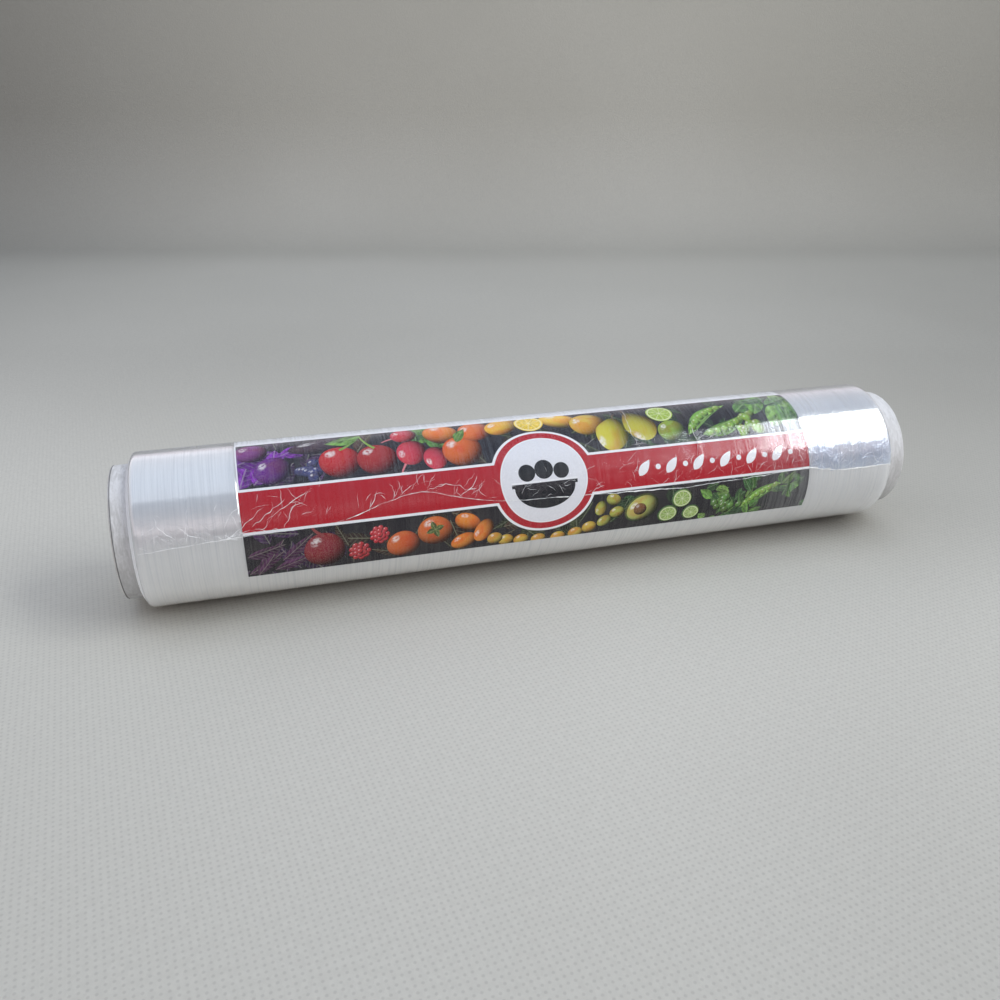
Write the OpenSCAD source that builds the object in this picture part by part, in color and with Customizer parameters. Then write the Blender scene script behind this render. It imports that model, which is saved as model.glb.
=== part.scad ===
// Roll of cling film: film wound on a paperboard core, with a printed paper label
// caught under the last turn. The roll lies on its side on a small flat spot.
// X runs along the roll and the film's free edge faces -Y. Z = 0 is the surface that it lies on.

/* [Core tube] */
// Diameter of the hole through the paperboard core
core_bore_d = 40; // [24:0.5:76]
// Thickness of the paperboard
core_wall = 4.7; // [2:0.1:8]
// How far the core stands out of the film at the left end
core_out_left = 7.2; // [4:0.1:30]
// How far the core stands out of the film at the right end
core_out_right = 8.8; // [2:0.1:30]
// Width of the soft bevel on the core's cut edges
core_bevel = 0.5; // [0.2:0.1:0.9]

/* [Wound film] */
// Width of the film, along the roll
film_w = 300; // [250:5:450]
// Depth of the wound film on the core, without its loose last turn
film_depth = 4.2; // [3.2:0.1:30]
// Rounding of the two outer shoulders, where the outer turns pull in
shoulder_r = 2; // [0.6:0.1:2.5]
// Turns whose edges show as rings on each end
turn_rings = 10; // [4:1:14]
// How far the innermost turns stand out of the left end
left_cone = 1.2; // [0.2:0.1:2.5]
// How far the innermost turns stand out of the right end
right_cone = 0.4; // [0.2:0.1:1.2]
// How far every other ring is set back from its neighbours
ring_stagger = 0.14; // [0.06:0.02:0.3]
// Width of the flat spot that the soft roll rests on
flat_w = 4; // [2:0.5:7]

/* [Loose last turn] */
// Height of the step at the film's free edge
lap_t = 0.25; // [0.12:0.01:0.6]
// Angle of the free edge above the middle of the front
edge_a = 11; // [0:1:40]
// Height of the long wave where the free edge has slipped up the roll
long_wave = 9; // [0:0.5:12]
// Place of the long wave, from the middle of the film
long_wave_x = -51; // [-80:1:80]
// Height of the short wave near the right end
short_wave = 3; // [0:0.5:6]
// Place of the short wave, from the middle of the film
short_wave_x = 110; // [90:1:120]
// Depth of the ripples all along the free edge
ripple = 0.4; // [0:0.1:1]
// Height of the pleats in the loose turn
pleat_h = 0.25; // [0.1:0.05:0.6]
// Width of the pleats in the loose turn
pleat_w = 1.4; // [0.6:0.1:3]

/* [Label] */
// Length of the label, along the roll
label_w = 224; // [120:1:236]
// Height of the label, round the roll
label_h = 73; // [30:1:110]
// Thickness of the printed paper
label_t = 0.1; // [0.06:0.01:0.3]
// Angle of the label's lower edge, below the middle of the front
label_drop_a = 22; // [0:1:40]
// How far the label's middle lies left of the film's middle
label_shift = 1.6; // [0:0.1:5]
// Depth of film over the label, without the loose last turn
label_cover = 0.22; // [0.16:0.02:0.5]
// Room for the paper between the turns, on each face and edge
label_room = 0.02; // [0.01:0.01:0.05]

/* [Hidden] */

// Facets in a full circle
round_fn = 96;
// Steps in each rounded shoulder
shoulder_steps = 4;
// Spacing of the points along the free edge
edge_step = 5;
// Half-widths of the long and the short wave
long_wave_half = 19;
short_wave_half = 9;
// Lengths of the two ripples that run along the free edge
ripple_l = [37, 23];
// Each pleat's place from the film's middle, and the angles that it runs between
pleats = [[27, 40, 86], [52, 34, 78]];
// How deep each pleat is rooted in the tight turns
pleat_root = 0.1;
// How deep the loose turn's far end dips under the turn that it came from
lap_dip = 0.03;
// Overshoot of every cutting shape
over = 1;

core_bore_r = core_bore_d / 2;
core_r = core_bore_r + core_wall;
core_l = film_w + core_out_left + core_out_right;
film_r = core_r + film_depth;
film_x = (core_out_left - core_out_right) / 2;
// Radius of the turns where the rings on the ends stop and the shoulders begin
shoulder_in_r = film_r - shoulder_r;
ring_t = (shoulder_in_r - core_r) / turn_rings;
// The flat spot is a chord of the roll
axis_z = sqrt(film_r * film_r - flat_w * flat_w / 4);
// The loose turn is a slightly larger circle, moved towards the free edge, so that it stands
// lap_t proud at the edge and has run out before it has gone half way round.
lap_r = film_r + (lap_t - lap_dip) / 2;
lap_shift = (lap_t + lap_dip) / 2;
lap_w = film_w - 2 * shoulder_r;
label_out_r = film_r - label_cover;
label_in_r = label_out_r - label_t;
label_x = film_x - label_shift;

// Angle in degrees that an arc of this length spans
function arc_angle(length, r) = length / r * 180 / PI;

// A single smooth hump of unit height
function hump(x, middle, half) = exp(-pow((x - middle) / half, 2));

// Height of the free edge over its own angle, at x from the film's middle
function edge_height(x) =
    long_wave * hump(x, long_wave_x, long_wave_half)
    + short_wave * hump(x, short_wave_x, short_wave_half)
    + ripple * (sin(360 * x / ripple_l[0]) + sin(360 * x / ripple_l[1])) / 2;

// Where the end of ring i lies: the inner rings stand out by cone, and odd ones are set back
function ring_end(i, cone) =
    film_w / 2 + cone * (1 - i / turn_rings) - ring_stagger * (i % 2) * (1 - i / turn_rings);

// One end of the film's half section, as [radius, distance from the middle], from inside out
function end_points(cone) = concat(
    [for (i = [0 : turn_rings - 1]) each [
        [core_r + i * ring_t, ring_end(i, cone)],
        [core_r + (i + 1) * ring_t, ring_end(i, cone)]
    ]],
    [for (i = [0 : shoulder_steps]) let (a = 90 * i / shoulder_steps)
        [shoulder_in_r + shoulder_r * sin(a), film_w / 2 - shoulder_r * (1 - cos(a))]]
);

// The same points on the far side, run back from the outside in
function far_end_points(cone) =
    let (near = end_points(cone))
    [for (i = [len(near) - 1 : -1 : 0]) [near[i][0], -near[i][1]]];

// Turns a shape made round Z so that it lies along X
module along_x() {
    rotate([0, 90, 0])
        children();
}

// Sweeps a flat section round the roll, from low_a to high_a above the middle of the front
module round_the_front(low_a, high_a) {
    along_x()
        rotate([0, 0, -90 - high_a])
            rotate_extrude(angle = high_a - low_a, $fn = round_fn)
                children();
}

// The tight turns: a half section with stepped ends, turned round the roll's axis
module wound_turns() {
    along_x()
        rotate_extrude($fn = round_fn)
            polygon(concat(end_points(right_cone), far_end_points(left_cone)));
}

// Everything above the film's wavy free edge
module above_edge() {
    reach = 2 * film_r;
    half = film_w / 2 + over;
    steps = ceil(2 * half / edge_step);
    edge = [for (i = [0 : steps]) let (x = -half + 2 * half * i / steps) [x, edge_height(x)]];
    rotate([90 - edge_a, 0, 0])
        linear_extrude(height = 2 * reach, center = true)
            polygon(concat(edge, [[half, reach], [-half, reach]]));
}

// The loose last turn, from its free edge up over the roll
module last_turn() {
    intersection() {
        translate([0, -lap_shift * cos(edge_a), lap_shift * sin(edge_a)])
            along_x()
                cylinder(r = lap_r, h = lap_w, center = true, $fn = round_fn);
        above_edge();
    }
}

// A pleat where the loose turn is gathered: a low ridge that runs round the roll
module pleat(x, low_a, high_a) {
    root_r = film_r - pleat_root;
    translate([x, 0, 0])
        round_the_front(low_a, high_a)
            polygon([[root_r, -pleat_w / 2], [film_r + lap_t + pleat_h, 0], [root_r, pleat_w / 2]]);
}

// A curved sheet round the roll: the label, or the room for it when grown by room
module curved_sheet(room) {
    room_a = arc_angle(room, label_out_r);
    high_a = arc_angle(label_h, label_out_r) - label_drop_a;
    translate([label_x, 0, 0])
        round_the_front(-label_drop_a - room_a, high_a + room_a)
            translate([label_in_r - room, -label_w / 2 - room])
                square([label_t + 2 * room, label_w + 2 * room]);
}

module core_tube() {
    section = [
        [core_bore_r, core_bevel],
        [core_bore_r + core_bevel, 0],
        [core_r - core_bevel, 0],
        [core_r, core_bevel],
        [core_r, core_l - core_bevel],
        [core_r - core_bevel, core_l],
        [core_bore_r + core_bevel, core_l],
        [core_bore_r, core_l - core_bevel]
    ];
    color([0.80, 0.78, 0.76])
        translate([-core_l / 2, 0, axis_z])
            along_x()
                rotate_extrude($fn = round_fn)
                    polygon(section);
}

module film_roll() {
    color([0.80, 0.84, 0.90, 0.45])
        translate([0, 0, axis_z])
            difference() {
                translate([film_x, 0, 0])
                    union() {
                        wound_turns();
                        last_turn();
                        for (p = pleats)
                            pleat(p[0], p[1], p[2]);
                    }
                along_x()
                    cylinder(r = core_r, h = core_l + 2 * over, center = true, $fn = round_fn);
                curved_sheet(label_room);
                translate([-core_l / 2, -film_r, -axis_z - film_r])
                    cube([core_l, 2 * film_r, film_r]);
            }
}

module label() {
    color([0.66, 0.19, 0.22])
        translate([0, 0, axis_z])
            curved_sheet(0);
}

core_tube();
film_roll();
label();
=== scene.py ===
"""Looks of the roll of cling film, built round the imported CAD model.

The roll lies along X. Lengths are in millimetres until make_piece turns them into metres.
An angle is in degrees above the middle of the roll's front, so 0 faces -Y and 90 is the top.
x is measured from the middle of the film, and s up the label's paper from its lower edge.
"""

import math
import random

import bpy
import numpy as np
from mathutils import Matrix, Vector
from mathutils.geometry import delaunay_2d_cdt


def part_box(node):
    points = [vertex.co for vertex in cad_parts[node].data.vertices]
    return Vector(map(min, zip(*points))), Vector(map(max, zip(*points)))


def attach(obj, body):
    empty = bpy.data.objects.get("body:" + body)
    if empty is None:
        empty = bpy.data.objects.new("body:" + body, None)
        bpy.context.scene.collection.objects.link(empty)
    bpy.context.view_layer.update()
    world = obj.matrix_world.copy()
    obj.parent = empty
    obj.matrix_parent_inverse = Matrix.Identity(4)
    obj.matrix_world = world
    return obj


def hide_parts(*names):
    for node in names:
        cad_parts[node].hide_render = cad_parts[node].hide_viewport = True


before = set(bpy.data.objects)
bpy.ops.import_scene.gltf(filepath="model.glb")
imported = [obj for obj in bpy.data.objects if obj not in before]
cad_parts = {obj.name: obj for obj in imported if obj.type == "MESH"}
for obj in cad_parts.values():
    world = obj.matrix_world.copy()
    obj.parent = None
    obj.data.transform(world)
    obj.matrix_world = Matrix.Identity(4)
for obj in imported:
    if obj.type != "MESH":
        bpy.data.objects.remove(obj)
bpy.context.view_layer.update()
bpy.context.scene.view_settings.view_transform = "Standard"

MM = 0.001
core_low, core_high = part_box("core_tube")
AXIS_Z = (core_low[2] + core_high[2]) / 2 / MM
CORE_R = (core_high[2] - core_low[2]) / 2 / MM
CORE_BORE_R = 20.0
CORE_LEFT, CORE_RIGHT = core_low[0] / MM, core_high[0] / MM

FILM_X = -0.8
FILM_HALF = 150.0
FILM_R = 28.86
SHOULDER = 2.0
LEFT_CONE, RIGHT_CONE = 1.2, 0.4

# The loose turn lies just over the wound film and stands LAP proud at its free edge.
SHEET_R = 28.885
LAP = 0.24
SHEET_SPAN = 361.0
# Length of one degree round the roll
DEGREE = 0.504
# Pleats of the loose turn, as x and the angles that each runs between
PLEATS = ((36.5, 42, 88), (62.0, 30, 60))

LABEL_H = 73.0
LABEL_R = 28.76
LABEL_T = 0.1
LABEL_LOW_A = -22.0
LABEL_HIGH_A = LABEL_LOW_A + math.degrees(LABEL_H / LABEL_R)
# The label's ends, measured from the middle of the film, and the bed that it lies in
LEFT, RIGHT = -113.6, 110.4
BED_GAP, BED_STEP, BED_DEPTH = 0.06, 0.12, 0.22

# Where a thin dark line runs round the core, close to its left rim, from the core's own middle
RIM_DARK_LINE_X = -157.3
# Spacing of the table's weave, in metres
TABLE_WEAVE = 0.0026

# The film's free edge, as x and angle
FREE_EDGE = [(-152, 8.3), (-114, 12.5), (-96, 12.8), (-82, 14.2), (-74, 17.7), (-66, 23), (-58, 27.6),
             (-50, 29.6), (-46, 29), (-38, 24), (-32, 20.5), (-24, 17), (-12, 15), (18, 12.8), (33, 11.4),
             (53, 9.6), (72, 10.6), (92, 12), (105, 13.9), (112, 13.6), (122, 9), (134, 8.9), (152, 9.3)]


def smooth_curve(knots, width):
    """A function through the knots, with its corners rounded over a width."""
    step = 0.5
    reach = int(4 * width / step)
    xs = np.arange(-170, 170 + step, step)
    ys = np.interp(xs, *zip(*knots))
    kernel = np.exp(-0.5 * (np.arange(-reach, reach + 1) * step / width) ** 2)
    ys = np.convolve(np.pad(ys, reach, mode="edge"), kernel / kernel.sum(), mode="valid")
    return lambda x: np.interp(x, xs, ys)


def value_noise(x, y, cell_x, cell_y, seed):
    """Smooth noise from -1 to 1 over arrays x and y, with one random value at each cell's corner."""
    size = 256
    table = np.random.default_rng(seed).uniform(-1, 1, (size, size))
    fx, fy = np.broadcast_arrays(np.asarray(x) / cell_x, np.asarray(y) / cell_y)
    ix, iy = np.floor(fx).astype(int), np.floor(fy).astype(int)
    tx, ty = fx - ix, fy - iy
    tx, ty = tx * tx * (3 - 2 * tx), ty * ty * (3 - 2 * ty)

    def at(i, j):
        return table[i % size, j % size]

    low = at(ix, iy) * (1 - tx) + at(ix + 1, iy) * tx
    high = at(ix, iy + 1) * (1 - tx) + at(ix + 1, iy + 1) * tx
    return low * (1 - ty) + high * ty


def fold_noise(x, y, cell_x, cell_y, seed):
    """Noise from 0 to 1 with sharp crests, like creased film."""
    return 1 - np.abs(value_noise(x, y, cell_x, cell_y, seed)) ** 0.7


def smoothstep(low, high, value):
    t = np.clip((value - low) / (high - low), 0, 1)
    return t * t * (3 - 2 * t)


def cos_sin(degrees):
    return math.cos(math.radians(degrees)), math.sin(math.radians(degrees))


def spokes(count):
    """The cosine and sine of each of a number of equal steps round a circle."""
    return [cos_sin(360 * i / count) for i in range(count)]


def quarter(steps):
    """The cosine and sine at each step of a quarter turn."""
    return [cos_sin(90 * i / steps) for i in range(steps + 1)]


def on_roll(x, angle, r):
    """Points on the roll, from arrays of x from the film's middle, angle and distance from the axis."""
    x, angle, r = np.broadcast_arrays(np.asarray(x, float), angle, r)
    a = np.radians(angle)
    return np.stack([x + FILM_X, -r * np.cos(a), AXIS_Z + r * np.sin(a)], axis=-1)


def grid_faces(rows, columns, close_rows=False, close_columns=False):
    """The quads of a grid of points, as corner numbers."""
    i = np.arange(rows if close_rows else rows - 1)[:, None]
    j = np.arange(columns if close_columns else columns - 1)[None, :]
    i2, j2 = (i + 1) % rows, (j + 1) % columns
    corners = (i * columns + j, i * columns + j2, i2 * columns + j2, i2 * columns + j)
    return np.stack(np.broadcast_arrays(*corners), axis=-1).reshape(-1, 4)


def put_in_scene(name, data):
    thing = bpy.data.objects.new(name, data)
    bpy.context.scene.collection.objects.link(thing)
    return thing


def make_mesh(name, points, faces, materials, smooth=True):
    """A mesh object from points in metres."""
    mesh = bpy.data.meshes.new(name)
    faces = faces.tolist() if isinstance(faces, np.ndarray) else faces
    mesh.from_pydata(np.reshape(points, (-1, 3)).tolist(), [], faces)
    mesh.polygons.foreach_set("use_smooth", [smooth] * len(mesh.polygons))
    for material in materials:
        mesh.materials.append(material)
    mesh.update()
    return put_in_scene(name, mesh)


def make_piece(name, points, faces, materials, nodes=(), smooth=True):
    """A piece of the roll from points in millimetres, with its materials, slot and CAD nodes."""
    piece = make_mesh(name, np.asarray(points) * MM, faces, materials, smooth)
    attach(piece, "root")
    if nodes:
        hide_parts(*nodes)
    return piece


def make_turned(name, points, materials, node, at_end):
    """A closed turned body, with one row of points for each angle. The columns of its section
    that at_end marks take the second material."""
    rows, columns = points.shape[:2]
    faces = grid_faces(rows, columns, close_rows=True, close_columns=True)
    piece = make_piece(name, points, faces, materials, [node])
    piece.data.polygons.foreach_set("material_index", np.tile(at_end, rows).astype(int).tolist())
    return piece


def mark_loose(piece, values):
    piece.data.attributes.new("loose", "FLOAT", "POINT").data.foreach_set("value", values.ravel())


class Nodes:
    """Builds the nodes of a material or a world. Most methods return a socket to feed the next."""

    def __init__(self, name, data=bpy.data.materials, kind="Material"):
        self.made = data.new(name)
        self.made.use_nodes = True
        self.tree = self.made.node_tree
        self.tree.nodes.clear()
        self.out = self.tree.nodes.new("ShaderNodeOutput" + kind)

    def put(self, socket, value):
        if isinstance(value, bpy.types.NodeSocket):
            self.tree.links.new(value, socket)
        elif isinstance(value, tuple) and len(value) == 3 and socket.type == "RGBA":
            socket.default_value = (*value, 1)
        else:
            socket.default_value = value

    def add(self, kind, inputs, output=0, **settings):
        node = self.tree.nodes.new(kind)
        for key, value in settings.items():
            setattr(node, key, value)
        for key, value in inputs.items():
            self.put(node.inputs[key], value)
        return node.outputs[output]

    def math(self, operation, *values, clamp=False):
        return self.add("ShaderNodeMath", dict(enumerate(values)), operation=operation, use_clamp=clamp)

    def mix(self, factor, a, b, blend="MIX"):
        return self.add("ShaderNodeMix", {0: factor, 6: a, 7: b}, output=2, data_type="RGBA",
                        blend_type=blend)

    def between(self, value, low, high, to_low=0.0, to_high=1.0):
        """value from low to high turned smoothly into to_low to to_high."""
        inputs = {"Value": value, "From Min": low, "From Max": high, "To Min": to_low, "To Max": to_high}
        return self.add("ShaderNodeMapRange", inputs, interpolation_type="SMOOTHSTEP")

    def times(self, product, *others):
        for other in others:
            product = self.math("MULTIPLY", product, other)
        return product

    def line(self, value, slope, start, clamp=False):
        return self.math("MULTIPLY_ADD", value, slope, start, clamp=clamp)

    def apart(self, a, b):
        return self.math("ABSOLUTE", self.math("SUBTRACT", a, b))

    def rest(self, a):
        return self.math("SUBTRACT", 1.0, a)

    def patches(self, colour, other, value, low, high, share=1.0):
        """colour, mixed with a share of the other where value is high."""
        return self.mix(self.between(value, low, high, 0.0, share), colour, other)

    def scaled(self, colour, factor):
        return self.add("ShaderNodeVectorMath", {0: colour, "Scale": factor}, operation="SCALE")

    def ray(self, kind):
        return self.add("ShaderNodeLightPath", {}, output=f"Is {kind} Ray")

    def place(self, stretch=(1, 1, 1)):
        """The object's own coordinates, each multiplied by its stretch."""
        where = self.add("ShaderNodeTexCoord", {}, output="Object")
        return self.add("ShaderNodeMapping", {"Vector": where, "Scale": stretch})

    def noise(self, vector, scale, detail=3.0, roughness=0.5, distortion=0.0):
        inputs = {"Vector": vector, "Scale": scale, "Detail": detail, "Roughness": roughness,
                  "Distortion": distortion}
        return self.add("ShaderNodeTexNoise", inputs)

    def attribute(self, name, output="Fac"):
        return self.add("ShaderNodeAttribute", {}, output=output, attribute_name=name)

    def split(self, vector):
        node = self.tree.nodes.new("ShaderNodeSeparateXYZ")
        self.put(node.inputs[0], vector)
        return node.outputs

    def bump(self, height, distance_mm, strength=1.0, normal=None):
        inputs = {"Height": height, "Distance": distance_mm * MM, "Strength": strength}
        if normal is not None:
            inputs["Normal"] = normal
        return self.add("ShaderNodeBump", inputs)

    def surface(self, **inputs):
        """A Principled shader. Underscores in the names stand for spaces."""
        named = {key.replace("_", " "): value for key, value in inputs.items()}
        return self.add("ShaderNodeBsdfPrincipled", named)

    def film_gloss(self, **inputs):
        """A Principled shader whose sheen is drawn out round the roll."""
        tangent = self.add("ShaderNodeTangent", {}, direction_type="RADIAL", axis="X")
        return self.surface(Anisotropic_Rotation=0.25, Tangent=tangent, **inputs)

    def over_clear(self, cover, shader):
        """The shader where cover is 1, and nothing but clear air where it is 0."""
        clear = self.add("ShaderNodeBsdfTransparent", {"Color": (1.0, 1.0, 1.0)})
        return self.add("ShaderNodeMixShader", {0: cover, 1: clear, 2: shader})

    def done(self, shader):
        self.put(self.out.inputs["Surface"], shader)
        return self.made


# Camera, lamps, surroundings and floor

CAMERA_AT = Vector((-0.1023, -0.3224, 0.1823))
CAMERA_LOOK = Vector((0.2396, 0.8713, -0.4285)).normalized()
# On the table: the way that the camera looks, the way to its right, and the spot under it
AHEAD = Vector((CAMERA_LOOK.x, CAMERA_LOOK.y, 0)).normalized()
ASIDE = Vector((AHEAD.y, -AHEAD.x, 0))
FOOT = Vector((CAMERA_AT.x, CAMERA_AT.y, 0))


def make_camera():
    data = bpy.data.cameras.new("camera")
    data.lens = 32.66
    data.sensor_width = 36
    data.clip_start = 0.01
    camera = put_in_scene("camera", data)
    camera.location = CAMERA_AT
    camera.rotation_euler = CAMERA_LOOK.to_track_quat("-Z", "Y").to_euler()
    bpy.context.scene.camera = camera


def make_lamp(name, toward, distance, long_way, size, watts, colour):
    """A soft oblong lamp that faces the roll from the direction toward, its length along long_way."""
    data = bpy.data.lights.new(name, "AREA")
    data.shape = "RECTANGLE"
    data.size, data.size_y = size
    data.energy = watts
    data.color = colour
    lamp = put_in_scene(name, data)
    direction = Vector(toward).normalized()
    lamp.location = Vector((0, 0, 0.03)) + direction * distance
    long_axis = Vector(long_way)
    long_axis = (long_axis - direction * long_axis.dot(direction)).normalized()
    lamp.rotation_euler = Matrix((long_axis.cross(direction), long_axis, direction)).transposed().to_euler()


def make_world():
    """A room's light: brightest and a little pink from low all round, and cool and dimmer above."""
    n = Nodes("room", bpy.data.worlds, "World")
    ramp = n.tree.nodes.new("ShaderNodeValToRGB")
    stops = [(0.0, (0.52, 0.52, 0.54)), (0.16, (0.26, 0.24, 0.26)), (0.36, (0.90, 0.83, 0.87)),
             (0.62, (0.38, 0.40, 0.46)), (1.0, (0.34, 0.43, 0.56))]
    marks = ramp.color_ramp.elements
    marks.remove(marks[1])
    for i, (place, colour) in enumerate(stops):
        stop = marks[0] if i == 0 else marks.new(place)
        stop.position = place
        stop.color = (*colour, 1)
    n.put(ramp.inputs[0], n.split(n.add("ShaderNodeTexCoord", {}, output="Generated"))[2])
    background = n.add("ShaderNodeBackground", {"Color": ramp.outputs[0], "Strength": 1.0})
    bpy.context.scene.world = n.done(background)


def make_stage():
    """A pale table top that curves up into a backdrop, square to the camera."""
    n = Nodes("table_top")
    place = n.place()
    grain = n.add("ShaderNodeTexVoronoi", {"Vector": place, "Scale": 620.0}, feature="F1")
    cloud = n.noise(place, 3.0, 3)
    speck = n.noise(place, 420.0, 2)
    colour = n.patches((0.565, 0.547, 0.490), (0.595, 0.577, 0.520), cloud, 0.35, 0.65)
    colour = n.patches(colour, (0.527, 0.509, 0.457), speck, 0.3, 0.7, 0.35)
    x, y, _ = n.split(place)
    weave = 2 * math.pi / TABLE_WEAVE
    rows, lines = (n.math("SINE", n.times(n.line(x, u, n.times(y, v)), weave))
                   for u, v in ((0.6, 0.8), (-0.8, 0.6)))
    dots = n.between(n.times(rows, lines), 0.3, 0.9)
    near = n.between(y, 0.0, 0.4, 0.30, 0.0)
    colour = n.mix(n.times(dots, near), colour, (0.34, 0.325, 0.30))
    # The floor's colour holds painted shade: darkest at its far right, far left and fold, with a painted
    # shadow just beside the roll. It gives more bounced light than it shows, and the painted shadow by the
    # roll is for the camera alone.
    away, across = (n.line(x, way.x, n.line(y, way.y, -FOOT.dot(way))) for way in (AHEAD, ASIDE))
    bounced = n.ray("Diffuse")
    # The next lines paint shade on the floor at its right, left, far part and fold, and a shadow beside the
    # roll.
    right = n.times(n.between(n.math("DIVIDE", across, n.math("MAXIMUM", away, 0.2)), 0.12, 0.60),
                    n.between(away, 0.27, 0.39, 0.10, 0.27), n.rest(bounced))
    left = n.between(n.line(away, -0.24, across), -0.46, -0.94, 0.0, 0.36)
    painted_far_shade = n.math("ADD", n.between(away, 0.34, 0.64, 0.0, 0.25), n.between(away, 0.12, 0.26, 0.09, 0.0))
    fold = n.between(n.apart(away, 1.035), 0.0, 0.10, 0.07, 0.0)
    near_y = n.between(n.math("ABSOLUTE", y), 0.004, 0.05, 0.42, 0.0)
    near_x = n.between(n.math("ABSOLUTE", x), 0.13, 0.17, 1.0, 0.0)
    painted_contact_shadow = n.times(near_y, near_x, n.ray("Camera"))
    shade = n.times(n.rest(n.math("ADD", painted_far_shade, fold)), n.rest(right), n.rest(left), n.rest(painted_contact_shadow),
                    n.line(bounced, 0.65, 1.0))
    colour = n.scaled(colour, shade)
    shader = n.surface(Base_Color=colour, Roughness=0.75, Specular_IOR_Level=0.25,
                       Normal=n.bump(grain, 0.25, 0.5))
    material = n.done(shader)
    bend, wall, top, half = 0.14, 1.17, 0.28, 2.6
    profile = [(-1.6, 0.0), (0.2, 0.0), (0.8, 0.0)]
    profile += [(wall - bend + bend * d, bend - bend * c) for c, d in quarter(16)]
    profile.append((wall, top))
    points = []
    for distance, height in profile:
        for side in (-half, half):
            spot = FOOT + AHEAD * distance + ASIDE * side
            points.append((spot.x, spot.y, height))
    make_mesh("table_top", points, grid_faces(len(profile), 2), [material])


# The wound film

def streaks(n):
    """Fine and broad streaks that run round the roll, each from 0 to 1."""
    fine = n.noise(n.place((1900, 22, 22)), 1.0, 4, 0.6)
    broad = n.noise(n.place((160, 9, 9)), 1.0, 3, 0.6)
    return fine, broad


def crumples(n, loose):
    """Sharp folds of loose film, from 0 to 1."""
    folds = n.noise(n.place(), 170.0, 4, 0.55, 1.2)
    return n.times(n.between(n.apart(folds, 0.5), 0.0, 0.06, 1.0, 0.0), loose)


def wound_film_material():
    n = Nodes("wound_film")
    fine, broad = streaks(n)
    folds = crumples(n, n.attribute("loose"))
    colour = n.patches((0.84, 0.855, 0.88), (1.0, 1.0, 1.0), fine, 0.3, 0.6)
    colour = n.patches(colour, (0.96, 0.97, 0.98), broad, 0.3, 0.7, 0.3)
    # Painted shade and reflection: where the film is loose at its right end, its colour is darker and bluer.
    right = n.between(n.split(n.place())[0], 0.105, 0.113)
    dim = n.times(n.between(n.attribute("loose"), 0.30, 0.70, 0.0, 0.9), right)
    colour = n.mix(dim, colour, (0.56, 0.66, 0.88))
    rough = n.between(broad, 0.25, 0.75, 0.16, 0.21)
    return n.done(n.film_gloss(
        Base_Color=colour, Metallic=0.4, Roughness=rough, Anisotropic=0.6, IOR=1.5,
        Subsurface_Weight=1.0, Subsurface_Radius=(1.0, 1.0, 1.0), Subsurface_Scale=0.025,
        Normal=n.bump(folds, 0.10, 1.0, n.bump(fine, 0.012, 1.0))))


def film_edges_material():
    """The frosty ends, where the edges of all the turns lie side by side."""
    n = Nodes("film_edges")
    x, y, z = n.split(n.place())
    up = n.math("SUBTRACT", z, AXIS_Z * MM)
    radius = n.math("SQRT", n.math("ADD", n.times(y, y), n.times(up, up)))
    rings = n.add("ShaderNodeTexNoise", {"W": n.times(radius, 9000.0), "Scale": 1.0,
                                         "Detail": 3.0}, noise_dimensions="1D")
    frost = n.noise(n.place(), 900.0, 3)
    colour = n.patches((0.86, 0.87, 0.89), (0.98, 0.98, 0.99), rings, 0.3, 0.7)
    colour = n.patches(colour, (0.99, 0.99, 1.0), frost, 0.4, 0.7, 0.4)
    shader = n.surface(Base_Color=colour, Roughness=0.35, Metallic=0.15, Normal=n.bump(rings, 0.05, 0.8))
    return n.done(shader)


def end_profile(cone, rng):
    """One end of the wound film as x and radius, from the core outward: the stepped edges of the
    turns, then the rounded shoulder."""
    rings, shoulder_steps = 14, 9
    inner, outer = CORE_R + 0.02, FILM_R - SHOULDER
    points = []
    for i in range(rings):
        t = i / rings
        out = FILM_HALF + cone * (1 - t ** 1.6) - rng.uniform(0, 0.16) * (1 - 0.6 * t)
        for side in (0.12, 0.88):
            points.append((out, inner + (i + side) * (outer - inner) / rings))
    for c, d in quarter(shoulder_steps):
        points.append((FILM_HALF - SHOULDER * (1 - c), outer + SHOULDER * d))
    return points


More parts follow.
